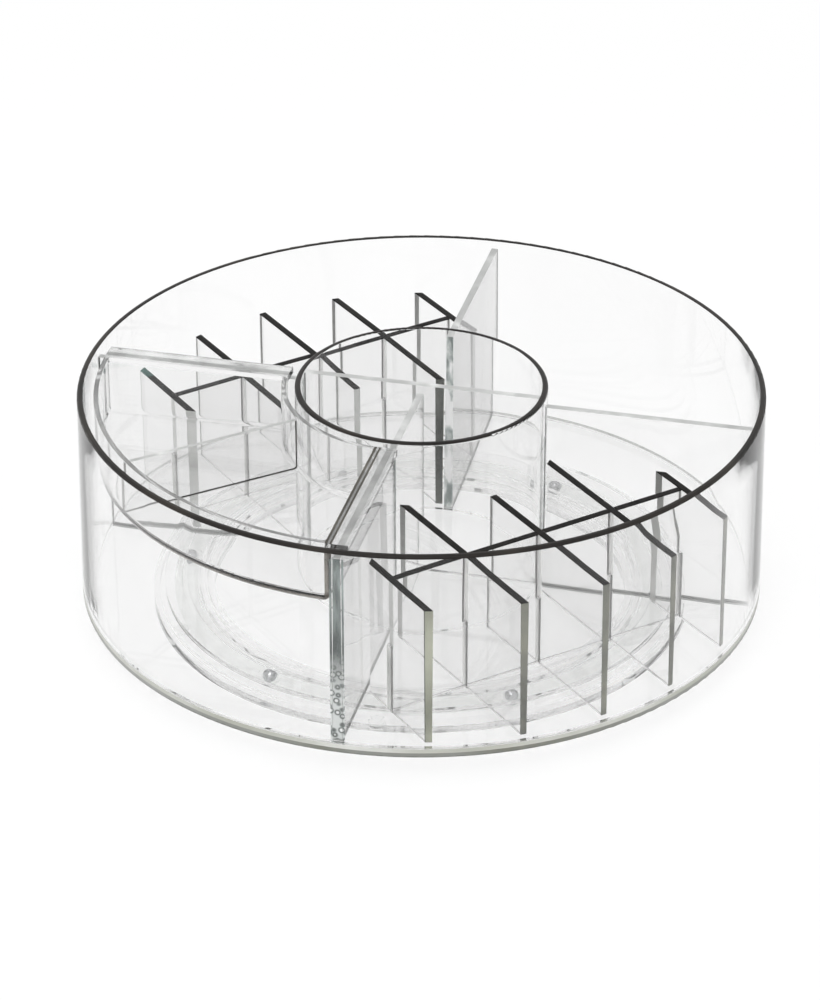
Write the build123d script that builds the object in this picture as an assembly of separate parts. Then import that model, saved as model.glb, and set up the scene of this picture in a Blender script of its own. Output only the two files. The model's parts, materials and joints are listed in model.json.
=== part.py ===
from build123d import *
from math import sqrt
import os

# Rotating makeup organizer in clear acrylic, in millimetres with +Z up.
# The origin is on the table, under the turning axis. The two divider inserts stand at -Y and +Y,
# the lift-out bin hangs at -X and the compartment at +X is open. Four partitions stand between them.

# Clearances that several pieces share
overrun = 1.0  # how far a cutting solid runs past the face that it cuts
bond_gap = 0.1  # cement line between two bonded pieces
seat_gap = 0.25  # lift-out piece above the face that it rests on
lift_gap = 0.35  # lift-out piece beside a wall that it slides past

# Drum: a floor disc with a tube bonded on it. The wall is straight inside and thicker at its foot.
drum_diameter = 292.6
drum_height = 93.6
drum_floor_thickness = 4.2
drum_wall_thickness = 2.5
drum_foot_spread = 1.1
floor_edge_radius = 0.8
rim_outer_radius = 1.3
rim_inner_radius = 0.4
lip_share = 0.6  # most of a rim's thickness that its rounding may take

# Partitions: four upright plates from the cup to the drum wall, thicker at the foot
partition_names = ["rear", "left", "front", "right"]
partition_first_angle = 45.0
partition_foot_thickness = 4.2
partition_top_thickness = 3.0
partition_drop = 4.0

# Cup: a tube at the centre, as high as the drum, with a T of two plates in it
cup_diameter = 108.0
cup_wall_thickness = 2.5
cup_plate_thickness = 3.0
cup_cross_angle = 135.0
cup_stem_angle = 225.0
cup_cross_drop = 0.2
cup_stem_drop = 4.0

# Divider inserts: a spine that crosses five fins in half laps
insert_angles = {"front": -90.0, "rear": 90.0}
insert_play_shares = {"front": 0.0, "rear": 1.0}  # the rear insert lies against the rear partition
fin_count = 5
fin_pitch = 35.7
fin_height = 62.3
fin_top_thickness = 3.2
fin_foot_thickness = 2.6
spine_distance = 93.3
insert_cup_gap = 3.3
insert_drum_gap = 2.4
insert_play = 1.5  # free travel of an insert towards the partition beside it
lap_gap = 0.1

# Bin: a sector tray that hangs from the partitions by two side flanges
bin_angle = 180.0
bin_depth = 27.2
bin_wall_thickness = 2.0
bin_floor_thickness = 2.4
bin_corner_radius = 3.2
bin_inner_corner_radius = 1.5
bin_side_gap = 2.0
bin_cup_gap = 3.6
bin_drum_gap = 4.6
flange_thickness = 2.8
bin_divider_angle = 176.5
bin_divider_thickness = 1.8
bin_divider_drop = 1.3

# Ball bearing: six balls in a cage, between a race in the base and a race ring under the drum
ball_count = 6
ball_first_angle = 20.7
ball_diameter = 6.0
ball_circle_radius = 103.2
race_depth = 0.7
race_play = 0.1
race_clearance = 0.3
pocket_clearance = 0.25
pocket_wall = 1.4
pocket_collar_height = 3.0
cage_width = 10.0
cage_thickness = 2.0
cage_side_gap = 1.0

# Race ring under the drum, with a skirt that snaps under the hub lip of the base
race_ring_thickness = 2.3
race_ring_margin = 4.2
skirt_thickness = 2.2
bead_height = 1.6
snap_gap = 0.3
snap_axial_gap = 0.6

# Base: a ring channel that stays still on six non-slip pads
base_plate_thickness = 2.0
base_rim_thickness = 2.4
base_rim_height = 5.6
base_side_gap = 2.5
hub_thickness = 3.0
hub_height = 7.2
hub_lip_height = 1.0
hub_lip_overhang = 1.0
pad_count = 6
pad_first_angle = 49.0
pad_diameter = 7.0
pad_recess = 0.6
pad_proud = 0.8
pad_margin = 1.0
pad_edge = 0.4

# Radii, from the ball circle inwards and outwards
ball_radius = ball_diameter / 2
groove_radius = ball_radius + race_clearance
pocket_radius = ball_radius + pocket_clearance
cage_inner_radius = ball_circle_radius - cage_width / 2
cage_outer_radius = ball_circle_radius + cage_width / 2
skirt_outer_radius = cage_inner_radius - cage_side_gap
skirt_inner_radius = skirt_outer_radius - skirt_thickness
hub_lip_radius = skirt_inner_radius - snap_gap
hub_outer_radius = hub_lip_radius - hub_lip_overhang
hub_bore_radius = hub_outer_radius - hub_thickness
bead_radius = hub_outer_radius + snap_gap
race_ring_radius = cage_outer_radius + race_ring_margin
base_rim_radius = race_ring_radius + base_side_gap
base_outer_radius = base_rim_radius + base_rim_thickness
pad_circle_radius = base_rim_radius - pad_margin - pad_diameter / 2
drum_radius = drum_diameter / 2
drum_inner_radius = drum_radius - drum_wall_thickness
drum_foot_radius = drum_radius + drum_foot_spread
cup_radius = cup_diameter / 2
cup_inner_radius = cup_radius - cup_wall_thickness

# Heights, from the table up
base_bottom = pad_proud
base_plate_top = base_bottom + base_plate_thickness
base_rim_top = base_bottom + base_rim_height
hub_top = base_bottom + hub_height
hub_lip_bottom = hub_top - hub_lip_height
ball_height = base_plate_top - race_depth + race_play + ball_radius
race_ring_bottom = ball_height + ball_radius + race_play - race_depth
race_ring_top = race_ring_bottom + race_ring_thickness
bead_top = hub_lip_bottom - snap_axial_gap
bead_bottom = bead_top - bead_height
drum_bottom = race_ring_top + bond_gap
floor_top = drum_bottom + drum_floor_thickness
rim_height = drum_bottom + drum_height
wall_foot = floor_top + bond_gap
partition_top = rim_height - partition_drop
fin_bottom = floor_top + seat_gap
fin_top = floor_top + fin_height
fin_middle = (fin_bottom + fin_top) / 2
flange_bottom = partition_top + seat_gap
flange_top = flange_bottom + flange_thickness
bin_bottom = flange_top - bin_depth
bin_floor_top = bin_bottom + bin_floor_thickness
bin_divider_top = flange_top - bin_divider_drop

# Distances from the middle plane of a partition
partition_half_foot = partition_foot_thickness / 2
insert_side = partition_half_foot + lift_gap + insert_play
bin_side = partition_half_foot + bin_side_gap
flange_reach = insert_side - lift_gap
bin_inner_radius = cup_radius + bin_cup_gap
bin_outer_radius = drum_inner_radius - bin_drum_gap

upright = (Align.CENTER, Align.CENTER, Align.MIN)


def disc(radius, bottom, top):
    """Upright cylinder between two heights."""
    return Pos(0, 0, bottom) * Cylinder(radius, top - bottom, align=upright)


def tube(outer, inner, bottom, top):
    """Upright ring between two radii and two heights."""
    return disc(outer, bottom, top) - disc(inner, bottom - overrun, top + overrun)


def turned(points):
    """Solid of revolution about Z from an outline of (radius, height) points."""
    return revolve(Plane.XZ * Polygon(*points, align=None), Axis.Z)


def around(angle, solid):
    """The solid turned about the drum axis."""
    return Rot(0, 0, angle) * solid


def plate(start, end, bottom, top, foot_thickness, top_thickness):
    """Upright plate along X whose thickness changes evenly from its foot to its top."""
    foot = foot_thickness / 2
    head = top_thickness / 2
    section = Polygon((-foot, bottom), (foot, bottom), (head, top), (-head, top), align=None)
    return Pos(start, 0, 0) * extrude(Plane.YZ * section, end - start)


def quadrant(side, bottom, top):
    """Right-angled wedge about +X whose two faces keep a distance from the partitions beside it."""
    reach = drum_diameter
    apex = side * sqrt(2)
    outline = Polygon((apex, 0), (apex + reach, -reach), (apex + reach, reach), align=None)
    return Pos(0, 0, bottom) * extrude(outline, top - bottom)


def lipped(ring, thickness):
    """The tube with its rim rounded, more on the outside than on the inside."""
    lip = min(rim_outer_radius, thickness * lip_share)
    rim = ring.edges().group_by(Axis.Z)[-1].sort_by(SortBy.RADIUS)
    ring = fillet(rim[-1], lip)
    rim = ring.edges().group_by(Axis.Z)[-1].sort_by(SortBy.RADIUS)
    return fillet(rim[0], min(rim_inner_radius, (thickness - lip) * lip_share))


def drum_wall():
    ring = turned([
        (drum_inner_radius, wall_foot),
        (drum_foot_radius, wall_foot),
        (drum_radius, rim_height),
        (drum_inner_radius, rim_height),
    ])
    return lipped(ring, drum_wall_thickness)


def drum_floor():
    slab = disc(drum_foot_radius, drum_bottom, floor_top)
    return fillet(slab.edges().group_by(Axis.Z)[0], min(floor_edge_radius, drum_floor_thickness / 3))


def partition(angle):
    slab = plate(0, drum_radius, wall_foot, partition_top, partition_foot_thickness, partition_top_thickness)
    room = tube(drum_inner_radius - bond_gap, cup_radius + bond_gap, wall_foot, partition_top)
    return around(angle, slab & room)


def cup():
    return lipped(tube(cup_radius, cup_inner_radius, wall_foot, rim_height), cup_wall_thickness)


def cup_plate(start, drop, angle):
    top = rim_height - drop
    slab = plate(start, cup_radius, wall_foot, top, cup_plate_thickness, cup_plate_thickness)
    return around(angle, slab & disc(cup_inner_radius - bond_gap, wall_foot, top))


def insert_room():
    """Space that an insert may fill in its quadrant, with the quadrant's middle along +X."""
    ring = tube(drum_inner_radius - insert_drum_gap, cup_radius + insert_cup_gap, fin_bottom, fin_top)
    return ring & quadrant(insert_side, fin_bottom, fin_top)


def fin_places():
    return [fin_pitch * (number - (fin_count - 1) / 2) for number in range(fin_count)]


def fin(place):
    slab = plate(0, drum_radius, fin_bottom, fin_top, fin_foot_thickness, fin_top_thickness)
    lap_width = (fin_foot_thickness + fin_top_thickness) / 2 + 2 * lap_gap
    lap_height = fin_middle - fin_bottom + lap_gap
    lap = Box(lap_width, fin_pitch, lap_height + overrun, align=upright)
    lap = Pos(spine_distance, 0, fin_bottom - overrun) * lap
    return (Pos(0, place, 0) * (slab - lap)) & insert_room()


def spine():
    half_length = fin_places()[-1] + fin_foot_thickness / 2
    bar = plate(-half_length, half_length, fin_bottom, fin_top, fin_foot_thickness, fin_top_thickness)
    lap_width = fin_top_thickness + 2 * lap_gap
    lap_bottom = fin_middle - lap_gap
    for place in fin_places():
        lap = Box(lap_width, fin_pitch, fin_top - lap_bottom + overrun, align=upright)
        bar -= Pos(place, 0, lap_bottom) * lap
    return Pos(spine_distance, 0, 0) * Rot(0, 0, 90) * bar


def bin_block(inset, bottom, top, corner_radius):
    """Sector block of the bin about +X, drawn in from its outer faces, with round corners."""
    ring = tube(bin_outer_radius - inset, bin_inner_radius + inset, bottom, top)
    block = ring & quadrant(bin_side + inset, bottom, top)
    block = fillet(block.edges().filter_by(Axis.Z), corner_radius)
    return fillet(block.edges().group_by(Axis.Z)[0], corner_radius)


def bin_flange():
    """Strip that lies over the partition at +45 degrees, from the bin's wall to just past the partition."""
    width = bin_side + bin_wall_thickness + flange_reach
    middle = (bin_side + bin_wall_thickness - flange_reach) / 2
    strip = Pos(0, -middle, 0) * plate(0, drum_radius, flange_bottom, flange_top, width, width)
    ring = tube(bin_outer_radius, bin_inner_radius, flange_bottom, flange_top)
    return around(partition_first_angle, strip) & ring


def bin_tray():
    outside = bin_block(0, bin_bottom, flange_top, bin_corner_radius)
    flange = bin_flange()
    cavity_top = flange_top + overrun
    cavity = bin_block(bin_wall_thickness, bin_floor_top, cavity_top, bin_inner_corner_radius)
    return around(bin_angle, outside + flange + mirror(flange, Plane.XZ) - cavity)


def bin_divider():
    slab = plate(0, drum_radius, bin_bottom, bin_divider_top, bin_divider_thickness, bin_divider_thickness)
    inset = bin_wall_thickness + bond_gap
    room = bin_block(inset, bin_floor_top + bond_gap, bin_divider_top, bin_inner_corner_radius)
    return around(bin_divider_angle, slab) & around(bin_angle, room)


def groove(height):
    """Ring of round section that cuts a ball race."""
    return Pos(0, 0, height) * Torus(ball_circle_radius, groove_radius)


def base_ring():
    channel = turned([
        (hub_bore_radius, base_bottom),
        (base_outer_radius, base_bottom),
        (base_outer_radius, base_rim_top),
        (base_rim_radius, base_rim_top),
        (base_rim_radius, base_plate_top),
        (hub_outer_radius, base_plate_top),
        (hub_outer_radius, hub_lip_bottom),
        (hub_lip_radius, hub_lip_bottom),
        (hub_lip_radius, hub_top),
        (hub_bore_radius, hub_top),
    ])
    channel -= groove(base_plate_top - race_depth + groove_radius)
    recess = disc(pad_diameter / 2 + bond_gap, base_bottom - overrun, base_bottom + pad_recess)
    for place in PolarLocations(pad_circle_radius, pad_count, pad_first_angle):
        channel -= place * recess
    return channel


def base_pads():
    pad = disc(pad_diameter / 2, 0, base_bottom + pad_recess - bond_gap)
    pad = chamfer(pad.edges().group_by(Axis.Z)[0], pad_edge)
    return Compound([place * pad for place in PolarLocations(pad_circle_radius, pad_count, pad_first_angle)])


def race_ring():
    ring = turned([
        (bead_radius, bead_bottom),
        (skirt_outer_radius, bead_bottom),
        (skirt_outer_radius, race_ring_bottom),
        (race_ring_radius, race_ring_bottom),
        (race_ring_radius, race_ring_top),
        (skirt_inner_radius, race_ring_top),
        (skirt_inner_radius, bead_top),
        (bead_radius, bead_top),
    ])
    return ring - groove(race_ring_bottom + race_depth - groove_radius)


def ball_cage():
    half = cage_thickness / 2
    cage = tube(cage_outer_radius, cage_inner_radius, ball_height - half, ball_height + half)
    low = ball_height - pocket_collar_height / 2
    high = ball_height + pocket_collar_height / 2
    places = list(PolarLocations(ball_circle_radius, ball_count, ball_first_angle))
    for place in places:
        cage += place * disc(pocket_radius + pocket_wall, low, high)
    for place in places:
        cage -= place * disc(pocket_radius, low - overrun, high + overrun)
    return cage


def bearing_balls():
    ball = Pos(0, 0, ball_height) * Sphere(ball_radius)
    places = PolarLocations(ball_circle_radius, ball_count, ball_first_angle)
    return Compound([place * ball for place in places])


nodes = {
    "base_ring": base_ring(),
    "base_pads": base_pads(),
    "ball_cage": ball_cage(),
    "bearing_balls": bearing_balls(),
    "race_ring": race_ring(),
    "drum_floor": drum_floor(),
    "drum_wall": drum_wall(),
    "cup": cup(),
    "cup_cross_plate": cup_plate(-cup_radius, cup_cross_drop, cup_cross_angle),
    "cup_stem_plate": cup_plate(cup_plate_thickness / 2 + bond_gap, cup_stem_drop, cup_stem_angle),
    "bin_tray": bin_tray(),
    "bin_divider": bin_divider(),
}
for number, name in enumerate(partition_names):
    nodes[f"{name}_partition"] = partition(partition_first_angle + 360 / len(partition_names) * number)
for side, angle in insert_angles.items():
    aside = insert_play * insert_play_shares[side] / sqrt(2)
    seat = Rot(0, 0, angle) * Pos(-aside, -aside, 0)
    nodes[f"{side}_insert_spine"] = seat * spine()
    for number, place in enumerate(fin_places(), start=1):
        nodes[f"{side}_insert_fin_{number}"] = seat * fin(place)

os.makedirs("parts", exist_ok=True)
for name, solid in nodes.items():
    export_step(solid, f"parts/{name}.step")
print(len(nodes), "pieces, overall height", rim_height, "base radius", base_outer_radius)
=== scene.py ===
import json
from math import atan2, cos, degrees, hypot, pi, radians, sin

import bmesh
import bpy
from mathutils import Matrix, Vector


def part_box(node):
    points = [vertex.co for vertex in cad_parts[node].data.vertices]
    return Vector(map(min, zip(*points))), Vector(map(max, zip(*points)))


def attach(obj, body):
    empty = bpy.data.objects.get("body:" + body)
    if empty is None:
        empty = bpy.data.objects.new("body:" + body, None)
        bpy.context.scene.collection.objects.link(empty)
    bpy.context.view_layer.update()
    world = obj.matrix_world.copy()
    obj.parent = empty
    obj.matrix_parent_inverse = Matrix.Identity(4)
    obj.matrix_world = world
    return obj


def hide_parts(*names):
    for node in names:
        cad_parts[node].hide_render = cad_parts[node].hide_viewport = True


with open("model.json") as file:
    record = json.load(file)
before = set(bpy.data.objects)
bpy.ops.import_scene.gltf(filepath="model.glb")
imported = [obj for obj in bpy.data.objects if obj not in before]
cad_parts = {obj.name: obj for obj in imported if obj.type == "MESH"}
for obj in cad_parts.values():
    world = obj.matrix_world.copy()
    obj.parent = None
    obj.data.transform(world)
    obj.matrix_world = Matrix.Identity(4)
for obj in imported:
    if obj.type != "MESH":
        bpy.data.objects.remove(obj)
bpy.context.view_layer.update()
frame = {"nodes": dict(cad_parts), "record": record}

# Rotating makeup organizer in clear acrylic. Lengths are in metres, worked out from millimetres.
MM = 0.001

# The photograph: its size in pixels, and where its camera stood
photo_width = 820
photo_height = 1000
camera_distance = 1700 * MM
camera_azimuth = -31.5
camera_elevation = 29.07
focal_pixels = 3948
principal_x = 421.45
principal_y = 471.65
aim_height = 60.6 * MM
sensor = 36.0

# Stage: a sheet of white paper that glows to the eye and still keeps a light shadow, and one soft round lamp
paper_half = 4000 * MM
paper_tone = "#f4f4f4"
paper_glow_share = 0.75
paper_glow = 1.02
lamp_place = Vector((-900 * MM, -900 * MM, 1600 * MM))
lamp_aim = Vector((0, 0, 50 * MM))
lamp_size = 1200 * MM
lamp_power = 12
room_tones = [(0.0, "#ffffff"), (0.5, "#ffffff"), (0.75, "#f4f4f4"), (1.0, "#e8e8e8")]

# Mesh work: angles are in degrees
weld = 0.002 * MM
flat_angle = 0.05
sharp_angle = 32.0
plain_angle = 20.0  # where the bearing rings have no ball, pad or catch
lathe_steps = 300
plate_arris = 0.25 * MM
arris_steps = 2
arris_profile = 0.5
area_weight = 100  # large faces rule the shading
partition_step = 45.0
slant_ratio = 2.0  # a box less slim than this holds a plate that stands at a slant

# Depth of each place that takes a finish of its own
lip_depth = 1.5 * MM
edge_depth = 0.6 * MM
foot_depth = 0.9 * MM
end_depth = 6 * MM
wall_line = 0.7 * MM
disc_shade_to_light = 2.3 * MM
tip_length = 9 * MM
bead_leg = 0.8 * MM
bead_gap = 0.03 * MM

# The bin: how far its places lie below its top, and how far they lie from the middle of the front partition
flange_depth = 2.9 * MM
bin_fall = 20 * MM
bin_corner = 6 * MM
# Two lines of painted shade on the flange, where the wall below shows through it
wall_shade_lines = [(3.2 * MM, 4.1 * MM), (5.0 * MM, 6.2 * MM)]
bin_turn = 60 * MM  # the bottom line stops here, short of the left partition
toward_bin = Vector((-1, 1, 0)).normalized()  # square to the front partition

# How far a face leans up, down or along a plate before it counts as an edge
drum_lip_slope = 0.05
cup_lip_slope = 0.45
edge_slope = 0.2
arris_turn = 0.25
end_turn = 0.8
upright_slope = 0.3
level_slope = 0.5
round_slope = 0.15
under_slope = 0.9

# Places on a piece, in the order of its finishes
FACE, TOP, FIRST_END, LAST_END, FOOT, FIRST_ARRIS, LAST_ARRIS, SLOT, TIP = range(9)
LIP, WALL_FOOT = 1, 2
DISC_EDGE, DISC_PAINTED_LIGHT, DISC_LINE = 1, 2, 3
FLANGE, ROUNDED, FLANGE_SHADE_LINE = 1, 2, 3

# Grain of the stock: the clouds in its colour, the haze in its polish and the streaks in its edges, which on
# most edges are painted light and shade
cloud_size = 90 * MM
cloud_detail = 2.0
haze_size = 30 * MM
haze_detail = 4.0
haze_spread = 3  # the haziest polish is this many times as rough as the best
streak_detail = 3.0
even_stretch = (1.0, 1.0, 1.0)

# How much acrylic bends light, less in the rings than real acrylic does, and the tone that it takes in depth
acrylic_bend = 1.49
ring_bend = 1.22
depth_tone = "#8c8c8a"


def linear(code):
    """sRGB hex code to a linear colour with alpha."""
    parts = [int(code[i:i + 2], 16) / 255 for i in (1, 3, 5)]
    return [p / 12.92 if p <= 0.04045 else ((p + 0.055) / 1.055) ** 2.4 for p in parts] + [1.0]


def add(tree, kind, values=None, links=None, stops=(), **settings):
    """A node with its settings, its socket values, the sockets that feed it and the stops of a ramp."""
    node = tree.nodes.new(kind)
    for name, value in settings.items():
        setattr(node, name, value)
    for socket, value in (values or {}).items():
        node.inputs[socket].default_value = value
    for socket, source in (links or {}).items():
        tree.links.new(source, node.inputs[socket])
    for count, (place, code) in enumerate(stops):
        points = node.color_ramp.elements
        point = points[count] if count < len(points) else points.new(place)
        point.position = place
        point.color = linear(code)
    return node.outputs


def material(name):
    """Empty node material and the tree to fill."""
    made = bpy.data.materials.new(name)
    made.use_nodes = True
    tree = made.node_tree
    tree.nodes.clear()
    return made, tree


def grain(tree, size, detail=cloud_detail, stretch=even_stretch):
    """Even noise on the piece itself, with features of a real size."""
    place = add(tree, "ShaderNodeTexCoord")["Object"]
    place = add(tree, "ShaderNodeMapping", {"Scale": stretch}, {"Vector": place})["Vector"]
    noise = add(tree, "ShaderNodeTexNoise", {"Scale": 1.0 / size, "Detail": detail}, {"Vector": place})
    return noise["Fac"]


def clear_acrylic(name, tones, depth, sheen, shine, bend=acrylic_bend):
    """Clear acrylic: white light goes straight through, a long way inside it turns grey,
    and handling hazes the polish."""
    made, tree = material(name)
    body = add(tree, "ShaderNodeValToRGB", None, {"Fac": grain(tree, cloud_size)}, tones)["Color"]
    haze = add(tree, "ShaderNodeMapRange", {"To Min": sheen / haze_spread, "To Max": sheen},
               {"Value": grain(tree, haze_size, haze_detail)})
    skin = add(tree, "ShaderNodeBsdfPrincipled",
               {"IOR": bend, "Transmission Weight": 1.0, "Specular Tint": linear(shine)},
               {"Base Color": body, "Roughness": haze["Result"]})
    grey = add(tree, "ShaderNodeVolumeAbsorption", {"Color": linear(depth_tone), "Density": 1.0 / depth})
    add(tree, "ShaderNodeOutputMaterial", None, {"Surface": skin["BSDF"], "Volume": grey["Volume"]})
    return made


def cut_edge(name, tones, streak, roughness, gloss, clear=0.0, stretch=even_stretch):
    """Edge of a sheet: the light that it traps inside the sheet is painted in as shade, so it reads darker
    than the faces; its streaks are painted light and shade.
    """
    made, tree = material(name)
    flow = grain(tree, streak, streak_detail, stretch)
    colour = add(tree, "ShaderNodeValToRGB", None, {"Fac": flow}, tones)["Color"]
    skin = add(tree, "ShaderNodeBsdfPrincipled",
               {"Specular IOR Level": gloss, "Roughness": roughness, "Transmission Weight": clear},
               {"Base Color": colour})
    add(tree, "ShaderNodeOutputMaterial", None, {"Surface": skin["BSDF"]})
    return made


def bubbled_cement(name, tones, streaks, foam, size, stretch, foot, top, thinning, values):
    """Cement in an upright seam: its tone changes with the height, and its bubbles gather above the floor.
    They thin out between two shares of the height."""
    made, tree = material(name)
    place = add(tree, "ShaderNodeTexCoord")["Object"]
    height = add(tree, "ShaderNodeSeparateXYZ", None, {"Vector": place})["Z"]
    rise = add(tree, "ShaderNodeMapRange", {"From Min": foot, "From Max": top}, {"Value": height})["Result"]
    tone = add(tree, "ShaderNodeValToRGB", None, {"Fac": rise}, tones)["Color"]
    flow = grain(tree, size, streak_detail, stretch)
    streak = add(tree, "ShaderNodeValToRGB", None, {"Fac": flow}, streaks)["Color"]
    body = add(tree, "ShaderNodeMix", {0: 1.0}, {6: tone, 7: streak}, data_type="RGBA", blend_type="MULTIPLY")
    cell = add(tree, "ShaderNodeTexVoronoi", {"Scale": 1.0 / size}, {"Vector": place})["Distance"]
    bubble = add(tree, "ShaderNodeValToRGB", None, {"Fac": cell}, foam)["Color"]
    full, none = thinning
    low = add(tree, "ShaderNodeMapRange", {"From Min": none, "From Max": full}, {"Value": rise})["Result"]
    colour = add(tree, "ShaderNodeMix", None, {0: low, 6: body[2], 7: bubble}, data_type="RGBA")[2]
    skin = add(tree, "ShaderNodeBsdfPrincipled", values, {"Base Color": colour})
    add(tree, "ShaderNodeOutputMaterial", None, {"Surface": skin["BSDF"]})
    return made


def solid_stuff(name, tones, size, values):
    """Even stock with a faint cloud in its colour."""
    made, tree = material(name)
    colour = add(tree, "ShaderNodeValToRGB", None, {"Fac": grain(tree, size)}, tones)["Color"]
    skin = add(tree, "ShaderNodeBsdfPrincipled", values, {"Base Color": colour})
    add(tree, "ShaderNodeOutputMaterial", None, {"Surface": skin["BSDF"]})
    return made


# Cast tube for the drum and cup: the clearest stock, white to the eye
tube_acrylic = clear_acrylic("cast_acrylic_tube", [(0.3, "#fdfdfd"), (0.7, "#ffffff")],
                             depth=160 * MM, sheen=0.015, shine="#909090")
# Cast sheet for the partitions and the bin: a shade greyer
sheet_acrylic = clear_acrylic("cast_acrylic_sheet", [(0.3, "#fbfbfb"), (0.7, "#fefefe")],
                              depth=120 * MM, sheen=0.02, shine="#b0b0b0")
# Thinner sheet for the divider inserts: the greyest plates in the drum
fin_acrylic = clear_acrylic("extruded_acrylic_sheet", [(0.3, "#f9f9f9"), (0.7, "#fcfcfc")],
                            depth=100 * MM, sheen=0.02, shine="#b0b0b0")
# Moulded bearing rings: soft lines under the floor, because they bend light less than real acrylic
moulded_acrylic = clear_acrylic("moulded_acrylic", [(0.3, "#fbfbfb"), (0.7, "#ffffff")],
                                depth=200 * MM, sheen=0.01, shine="#808080", bend=ring_bend)
# Painted shade: nearly black lines on top of the inserts, the dark of light trapped in their clear top edges
painted_shade_top_edge = cut_edge("painted_shade_insert_top", [(0.3, "#0e0d0c"), (0.55, "#161413"), (0.75, "#24211f")],
                     streak=14 * MM, roughness=0.4, gloss=0.08)
# Tip of that edge on one rear fin: painted reflection, dark teal for the light from the sheet
painted_teal_reflection = cut_edge("teal_reflection_painted_tip", [(0.3, "#35524d"), (0.55, "#46655f"), (0.75, "#5c7b75")],
                     streak=8 * MM, roughness=0.4, gloss=0.15)
# Sawn end at the front of the inserts: olive grey painted shade
sawn_end_painted_shade = cut_edge("sawn_end_painted_shade", [(0.3, "#7a7c70"), (0.55, "#96988a"), (0.8, "#afb1a1")],
                    streak=22 * MM, roughness=0.45, gloss=0.3)
# The same end at the right of the front insert: a darker grey painted shade
deeper_painted_shade_end = cut_edge("deeper_painted_shade_end", [(0.3, "#5e5f5a"), (0.55, "#777870"), (0.8, "#979889")],
                      streak=30 * MM, roughness=0.45, gloss=0.3)
# Polished end elsewhere: pale
pale_end = cut_edge("polished_end", [(0.3, "#a9aaa8"), (0.6, "#bfc0be"), (0.8, "#d9dad8")],
                    streak=16 * MM, roughness=0.35, gloss=0.3)
# Sanded end at the back of the inserts: light comes through its grain from both sides
sanded_end = cut_edge("sanded_end", [(0.3, "#cfd0cc"), (0.6, "#dedfdb"), (0.8, "#efefed")],
                      streak=18 * MM, roughness=0.6, gloss=0.3, clear=0.7)
# Arris of a sawn end: a grey line of painted shade beside it
arris_painted_shade = cut_edge("painted_shade_beside_arris", [(0.3, "#3e403d"), (0.6, "#5c5e5a"), (0.8, "#84867f")],
                      streak=25 * MM, roughness=0.4, gloss=0.2)
# Top of the bonded plates: pale grey painted shade with white streaks of painted highlight
pale_top_shade_and_highlights = cut_edge("painted_shade_and_highlight_top", [(0.3, "#a8a9a8"), (0.55, "#bdbebd"), (0.75, "#e2e3e2")],
                     streak=12 * MM, roughness=0.4, gloss=0.3)
# Solvent cement where a partition meets the drum: grey green, darkest at mid height, with white bubbles
# near the floor
cement = bubbled_cement("solvent_cement",
                        [(0.0, "#c9cdcb"), (0.3, "#9fa5a3"), (0.5, "#626967"), (0.85, "#a3adab"),
                         (1.0, "#7f8886")],
                        streaks=[(0.35, "#b4b4b4"), (0.6, "#ffffff")],
                        foam=[(0.0, "#ffffff"), (0.28, "#eef0ef"), (0.36, "#4a4f4e"), (0.46, "#8f9593"),
                              (0.6, "#dfe2e1")],
                        size=3 * MM, stretch=(1.0, 1.0, 0.2), foot=14 * MM, top=99 * MM, thinning=(0.25, 0.5),
                        values={"Specular IOR Level": 0.5, "Roughness": 0.2, "Transmission Weight": 0.2})
# The same cement at the cup, thinner, on the partitions and on the plates inside: mostly white bubbles
thin_cement = cut_edge("thin_cement", [(0.4, "#8a9391"), (0.5, "#c9cfcd"), (0.58, "#ffffff")],
                       streak=5 * MM, roughness=0.2, gloss=0.5, clear=0.3, stretch=(1.0, 1.0, 0.5))
# Foot of a partition: a grey line on the floor
foot_line = cut_edge("bonded_foot", [(0.3, "#8f9190"), (0.6, "#a8aaa8"), (0.8, "#c2c3c1")],
                     streak=30 * MM, roughness=0.4, gloss=0.3, clear=0.3)
# Foot of the drum wall: a fainter line, mostly clear
wall_foot = cut_edge("wall_foot", [(0.3, "#c6c8c4"), (0.6, "#dcdddb"), (0.8, "#f2f2f1")],
                     streak=30 * MM, roughness=0.15, gloss=0.3, clear=0.8)
# Turned edge of the floor disc: grey with a trace of olive, painted shade on its lower half
disc_lower_painted_shade = cut_edge("painted_shade_turned_edge", [(0.3, "#717267"), (0.5, "#858782"), (0.7, "#9c9d9b")],
                     streak=60 * MM, roughness=0.3, gloss=0.3)
# Upper half of that edge: painted light, paler where light comes through it
disc_upper_painted_light = cut_edge("painted_light_turned_edge", [(0.3, "#a8a99f"), (0.55, "#babbb4"), (0.75, "#d4d4d1")],
                     streak=40 * MM, roughness=0.3, gloss=0.3)
# Lower corner of the floor disc: a dark grey line of painted shade
disc_corner_painted_shade = cut_edge("painted_shade_disc_corner", [(0.3, "#555753"), (0.55, "#70726e"), (0.75, "#93958f")],
                     streak=50 * MM, roughness=0.35, gloss=0.3)
# Lips of the drum and the cup: soft black painted shade, the dark of light trapped in the tube
lip_painted_shade = cut_edge("painted_shade_lip", [(0.3, "#1d1b1a"), (0.55, "#282523"), (0.75, "#38342f")],
                    streak=30 * MM, roughness=0.35, gloss=0.15)
# Top of the bin: pale, mostly clear, with white streaks of painted highlight
flange_painted_highlights = cut_edge("painted_highlight_flange", [(0.3, "#bdbebd"), (0.55, "#dcdddc"), (0.75, "#ffffff")],
                      streak=12 * MM, roughness=0.15, gloss=0.4, clear=0.75)
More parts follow.
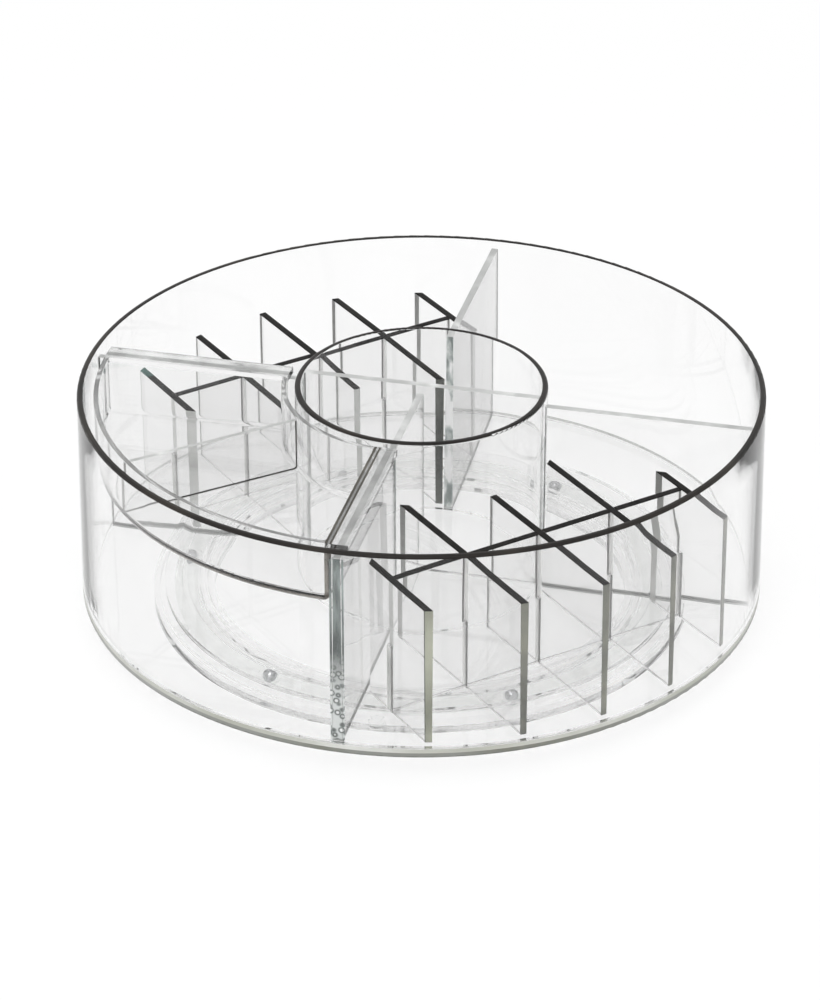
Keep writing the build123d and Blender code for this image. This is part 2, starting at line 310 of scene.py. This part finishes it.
# Walls of a slot: pale lines where two plates cross
slot_wall = cut_edge("routed_slot", [(0.3, "#e6e6e5"), (0.6, "#f2f2f1"), (0.8, "#ffffff")],
                     streak=16 * MM, roughness=0.4, gloss=0.3)
# Ends and foot of the bin's plate, and two lines on the bin's flange for the wall below it: brown grey
# painted shade
brown_painted_shade = cut_edge("painted_shade_bin_edges", [(0.3, "#3c3934"), (0.6, "#55524b"), (0.8, "#77746c")],
                      streak=20 * MM, roughness=0.4, gloss=0.2)
# Rounded edges of the bin's outer wall: brown grey painted shade, half clear
round_painted_shade = cut_edge("painted_shade_rounded_bottom", [(0.3, "#6b655d"), (0.55, "#8a857d"), (0.75, "#b4b1aa")],
                      streak=40 * MM, roughness=0.15, gloss=0.4, clear=0.5)
# Tumbled bearing steel, a dark mirror with a bright point
steel = solid_stuff("bearing_steel", [(0.35, "#a9aaac"), (0.65, "#d0d1d3")], 2 * MM,
                    {"Metallic": 1.0, "Roughness": 0.08})
# Spark-eroded polystyrene for the cage, milky white: it bends light so little here that it hardly shows
frosted = solid_stuff("frosted_polystyrene", [(0.35, "#f4f5f4"), (0.65, "#fbfcfb")], 6 * MM,
                      {"IOR": 1.02, "Transmission Weight": 1.0, "Roughness": 0.04})
# Silicone bumpers, cloudy and nearly clear
pad_skin = solid_stuff("silicone_pad", [(0.35, "#f2f3f2"), (0.65, "#fafafa")], 3 * MM,
                       {"IOR": 1.1, "Transmission Weight": 1.0, "Roughness": 0.04})


def body_of(node):
    for body, members in frame["record"]["behaviour"]["bodies"].items():
        if node in members:
            return body
    raise KeyError(node)


def foot_of(node):
    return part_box(node)[0][2]


def top_of(node):
    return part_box(node)[1][2]


def footprint(node):
    return [(v.co.x, v.co.y) for v in frame["nodes"][node].data.vertices]


def everything(form):
    return form.verts[:] + form.edges[:] + form.faces[:]


def turn_on_lathe(form):
    """Turns the section of a ring, cut where it is plain, into an even ring."""
    turn = radians(plain_angle)
    out, across = Vector((cos(turn), sin(turn), 0)), Vector((-sin(turn), cos(turn), 0))
    bmesh.ops.bisect_plane(form, geom=everything(form), plane_co=(0, 0, 0), plane_no=across,
                           clear_inner=True, clear_outer=True)
    bmesh.ops.delete(form, geom=[v for v in form.verts if v.co.dot(out) < 0], context="VERTS")
    section = form.verts[:] + form.edges[:]
    bmesh.ops.spin(form, geom=section, axis=(0, 0, 1), cent=(0, 0, 0), angle=2 * pi, steps=lathe_steps)
    bmesh.ops.remove_doubles(form, verts=form.verts, dist=weld)


def shaped_copy(node, arris, cuts, turned):
    """A welded copy of a node with broken arrises, cut along some planes."""
    form = bmesh.new()
    form.from_mesh(frame["nodes"][node].data)
    bmesh.ops.remove_doubles(form, verts=form.verts, dist=weld)
    if turned:
        turn_on_lathe(form)
    else:
        bmesh.ops.dissolve_limit(form, angle_limit=radians(flat_angle), verts=form.verts, edges=form.edges)
    if arris:
        corners = [e for e in form.edges if e.is_manifold and e.calc_face_angle() > radians(sharp_angle)]
        bmesh.ops.bevel(form, geom=corners, offset=arris, segments=arris_steps, profile=arris_profile,
                        affect="EDGES", clamp_overlap=True)
    for across, place in cuts:
        bmesh.ops.bisect_plane(form, geom=everything(form), plane_co=across * place, plane_no=across)
    bmesh.ops.recalc_face_normals(form, faces=form.faces)
    return form


def lay_beads(form, node, beads):
    """Three-cornered beads of cement, as tall as the node's ends."""
    heights = foot_of(node) + bead_gap, top_of(node) - edge_depth
    for corners in beads:
        low, high = ([form.verts.new((x, y, z)) for x, y in corners] for z in heights)
        sides = [form.faces.new((low[i], low[i - 2], high[i - 2], high[i])) for i in range(3)]
        for face in sides + [form.faces.new(low[::-1]), form.faces.new(high)]:
            face.material_index = LAST_END


def dress(node, finishes, pick, arris=0.0, cuts=(), beads=(), turned=False):
    """A shaped copy that takes a node's place, and whose faces each take one of the finishes."""
    form = shaped_copy(node, arris, cuts, turned)
    for face in form.faces:
        face.smooth = True
        face.material_index = pick(face.normal, face.calc_center_median())
    lay_beads(form, node, beads)
    mesh = bpy.data.meshes.new(node + "_dressed")
    form.to_mesh(mesh)
    form.free()
    mesh.set_sharp_from_angle(angle=radians(sharp_angle))
    for skin in finishes:
        mesh.materials.append(skin)
    piece = bpy.data.objects.new(node + "_dressed", mesh)
    bpy.context.collection.objects.link(piece)
    even = piece.modifiers.new("even_shading", "WEIGHTED_NORMAL")
    even.keep_sharp = True
    even.weight = area_weight
    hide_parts(node)
    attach(piece, body_of(node))


def above_foot(node, rise):
    """A level cut above the foot of a node."""
    return Vector((0, 0, 1)), foot_of(node) + rise


def plain(normal, centre):
    return FACE


def rim_lip(node, slope):
    """The rounded lip of a tube is its cut edge and takes painted shade, and the bottom of its outside is a
    grey line.
    """
    foot, top = foot_of(node), top_of(node)

    def pick(normal, centre):
        if centre.z > top - lip_depth and normal.z > slope:
            return LIP
        outside = normal.dot(Vector((centre.x, centre.y, 0))) > 0
        return WALL_FOOT if outside and centre.z < foot + wall_line else FACE
    return pick


def disc_rim(node):
    """The turned edge of the floor disc, with painted light and shade: its lower half shaded, its upper half
    lit and its lower corner a shaded line.
    """
    radius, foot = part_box(node)[1][0], foot_of(node)

    def pick(normal, centre):
        inside = hypot(centre.x, centre.y) < radius - lip_depth
        if inside or normal.z > upright_slope or normal.z < -under_slope:
            return FACE
        if normal.z < -upright_slope:
            return DISC_LINE
        return DISC_EDGE if centre.z < foot + disc_shade_to_light else DISC_PAINTED_LIGHT
    return pick


def bin_edges(node):
    """The top of the bin, two lines of painted shade on it near the front partition, and the rounds of its
    outer wall in painted shade.
    """
    top = top_of(node)
    outer = max(hypot(x, y) for x, y in footprint(node)) - end_depth

    def pick(normal, centre):
        place = centre.dot(toward_bin)
        if normal.z > level_slope and centre.z > top - edge_depth:
            return FLANGE_SHADE_LINE if any(start < place < stop for start, stop in wall_shade_lines) else FLANGE
        if hypot(centre.x, centre.y) < outer or centre.z > top - flange_depth:
            return FACE
        if place < bin_corner and abs(normal.z) < level_slope:
            return ROUNDED
        low = centre.z < top - bin_fall and centre.y < bin_turn
        return ROUNDED if low and -under_slope < normal.z < -round_slope else FACE
    return pick


def plate_edges(node):
    """The top, the ends with their arrises, the foot, the slots and the tip of a plate."""
    foot, top = foot_of(node), top_of(node)
    along = lengths[node]
    first, last = plate_ends(node)

    def pick(normal, centre):
        turn, place = normal.dot(along), centre.dot(along)
        if normal.z > edge_slope and centre.z > top - edge_depth:
            return TIP if node == teal_fin and place > last - tip_length else TOP
        if centre.z < foot + foot_depth:
            return FOOT
        if abs(turn) > arris_turn and first + end_depth < place < last - end_depth:
            return SLOT
        if turn < -arris_turn and place < first + end_depth:
            return FIRST_END if turn < -end_turn else FIRST_ARRIS
        if turn > arris_turn and place > last - end_depth:
            return LAST_END if turn > end_turn else LAST_ARRIS
        return FACE
    return pick


def plate_ends(node):
    """Where a plate starts and stops along its length."""
    places = [Vector((x, y, 0)).dot(lengths[node]) for x, y in footprint(node)]
    return min(places), max(places)


def plate_direction(node):
    """Unit vector along a plate's length, from its box."""
    low, high = (Vector(corner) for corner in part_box(node))
    size = high - low
    if min(size.x, size.y) * slant_ratio > max(size.x, size.y):
        middle = (low + high) / 2
        angle = radians(round(degrees(atan2(middle.y, middle.x)) / partition_step) * partition_step)
        return Vector((cos(angle), sin(angle), 0))
    return Vector((1, 0, 0)) if size.x > size.y else Vector((0, 1, 0))


def cement_beads(node):
    """Corners of the beads that fill both corners between a partition's outer end and the drum."""
    along = lengths[node]
    across = Vector((-along.y, along.x, 0))
    points = [Vector((x, y, 0)) for x, y in footprint(node)]
    end = max(p.dot(along) for p in points) - bead_gap
    half = max(p.dot(across) for p in points) + bead_gap
    beads = []
    for side in (1, -1):
        corners = [(end - bead_leg, half), (end, half), (end, half + bead_leg)][::side]
        beads.append([(along * a + across * c * side).to_2d() for a, c in corners])
    return beads


inserts = ("front", "rear")
fin_nodes = [f"{side}_insert_fin_{number}" for side in inserts for number in range(1, 6)]
spine_nodes = [f"{side}_insert_spine" for side in inserts]
partition_nodes = [f"{side}_partition" for side in ("rear", "left", "front", "right")]
cup_plates = ["cup_cross_plate", "cup_stem_plate"]
plate_nodes = fin_nodes + spine_nodes + partition_nodes + cup_plates + ["bin_divider"]
lengths = {node: plate_direction(node) for node in plate_nodes}
lengths["cup_cross_plate"] = toward_bin

# Fins whose near ends show in the photograph, with painted shade on those ends, and the fin with the painted
# teal reflection on its tip
near_ends = {node: (sawn_end_painted_shade, arris_painted_shade) for node in ("front_insert_fin_1", "rear_insert_fin_2")}
for number in (2, 3, 4, 5):
    near_ends[f"front_insert_fin_{number}"] = deeper_painted_shade_end, arris_painted_shade
teal_fin = "rear_insert_fin_5"

dress("drum_wall", [tube_acrylic, lip_painted_shade, wall_foot], rim_lip("drum_wall", drum_lip_slope),
      cuts=[above_foot("drum_wall", wall_line)])
dress("cup", [tube_acrylic, lip_painted_shade, tube_acrylic], rim_lip("cup", cup_lip_slope))
for node in fin_nodes + spine_nodes:
    near, line = near_ends.get(node, (pale_end, pale_end))
    finishes = [fin_acrylic, painted_shade_top_edge, near, sanded_end, fin_acrylic, line, sanded_end, slot_wall, painted_teal_reflection]
    tip = [(lengths[node], plate_ends(node)[1] - tip_length)] if node == teal_fin else []
    dress(node, finishes, plate_edges(node), plate_arris, tip)
for node in partition_nodes:
    finishes = [sheet_acrylic, pale_top_shade_and_highlights, thin_cement, cement, foot_line, thin_cement, arris_painted_shade]
    beads = cement_beads(node) if node == "front_partition" else ()
    dress(node, finishes, plate_edges(node), plate_arris, [above_foot(node, foot_depth)], beads)
for node in cup_plates:
    finishes = [sheet_acrylic, pale_top_shade_and_highlights, thin_cement, thin_cement, sheet_acrylic, pale_end, pale_end]
    dress(node, finishes, plate_edges(node), plate_arris)
dress("drum_floor", [tube_acrylic, disc_lower_painted_shade, disc_upper_painted_light, disc_corner_painted_shade], disc_rim("drum_floor"),
      cuts=[above_foot("drum_floor", disc_shade_to_light)])
wall_shade_cuts = [(toward_bin, place) for line in wall_shade_lines for place in line]
dress("bin_tray", [sheet_acrylic, flange_painted_highlights, round_painted_shade, brown_painted_shade], bin_edges("bin_tray"), plate_arris,
      wall_shade_cuts)
dress("bin_divider", [fin_acrylic, pale_top_shade_and_highlights] + [brown_painted_shade] * 5, plate_edges("bin_divider"), plate_arris)
for node in ("base_ring", "race_ring"):
    dress(node, [moulded_acrylic], plain, turned=True)
dress("ball_cage", [frosted], plain)
dress("bearing_balls", [steel], plain)
dress("base_pads", [pad_skin], plain)


def stage_floor():
    """White paper: it glows for rays that the eye sees straight, in a mirror or through the acrylic."""
    mesh = bpy.data.meshes.new("floor")
    corners = [(-1, -1), (1, -1), (1, 1), (-1, 1)]
    mesh.from_pydata([(x * paper_half, y * paper_half, 0) for x, y in corners], [], [(0, 1, 2, 3)])
    floor = bpy.data.objects.new("floor", mesh)
    bpy.context.collection.objects.link(floor)
    made, tree = material("white_paper")
    path = add(tree, "ShaderNodeLightPath")
    seen = path["Is Camera Ray"]
    for ray in ("Is Glossy Ray", "Is Transmission Ray"):
        seen = add(tree, "ShaderNodeMath", None, {0: seen, 1: path[ray]}, operation="MAXIMUM")[0]
    share = add(tree, "ShaderNodeMath", {1: paper_glow_share}, {0: seen}, operation="MULTIPLY")
    paper = add(tree, "ShaderNodeBsdfDiffuse", {"Color": linear(paper_tone)})
    glow = add(tree, "ShaderNodeEmission", {"Color": (1, 1, 1, 1), "Strength": paper_glow})
    mix = add(tree, "ShaderNodeMixShader", None, {0: share[0], 1: paper[0], 2: glow[0]})
    add(tree, "ShaderNodeOutputMaterial", None, {"Surface": mix[0]})
    mesh.materials.append(made)


def room():
    """A white room with a slightly darker ceiling."""
    world = bpy.data.worlds.new("studio")
    bpy.context.scene.world = world
    world.use_nodes = True
    tree = world.node_tree
    tree.nodes.clear()
    direction = add(tree, "ShaderNodeTexCoord")["Generated"]
    height = add(tree, "ShaderNodeSeparateXYZ", None, {"Vector": direction})["Z"]
    tone = add(tree, "ShaderNodeValToRGB", None, {"Fac": height}, room_tones)["Color"]
    light = add(tree, "ShaderNodeBackground", {"Strength": 1.0}, {"Color": tone})
    add(tree, "ShaderNodeOutputWorld", None, {"Surface": light[0]})


def key_lamp():
    data = bpy.data.lights.new("key", "AREA")
    data.shape = "DISK"
    data.size = lamp_size
    data.energy = lamp_power
    light = bpy.data.objects.new("key", data)
    light.location = lamp_place
    light.rotation_euler = (lamp_aim - lamp_place).to_track_quat("-Z", "Y").to_euler()
    bpy.context.collection.objects.link(light)


def photo_camera():
    data = bpy.data.cameras.new("camera")
    data.sensor_width = sensor
    data.lens = focal_pixels / photo_height * sensor
    data.shift_x = (photo_width / 2 - principal_x) / photo_height
    data.shift_y = (principal_y - photo_height / 2) / photo_height
    camera = bpy.data.objects.new("camera", data)
    bearing = radians(camera_azimuth - 90)  # an azimuth of 0 stands on -Y
    rise = radians(camera_elevation)
    aim = Vector((0, 0, aim_height))
    away = Vector((cos(rise) * cos(bearing), cos(rise) * sin(bearing), sin(rise)))
    camera.location = aim + camera_distance * away
    camera.rotation_euler = (aim - camera.location).to_track_quat("-Z", "Y").to_euler()
    bpy.context.collection.objects.link(camera)
    bpy.context.scene.camera = camera


stage_floor()
room()
key_lamp()
photo_camera()

scene = bpy.context.scene
scene.view_settings.view_transform = "Standard"
scene.cycles.max_bounces = 40
scene.cycles.transmission_bounces = 40
scene.cycles.glossy_bounces = 8
scene.cycles.diffuse_bounces = 4
scene.cycles.transparent_max_bounces = 24
scene.cycles.blur_glossy = 0.0
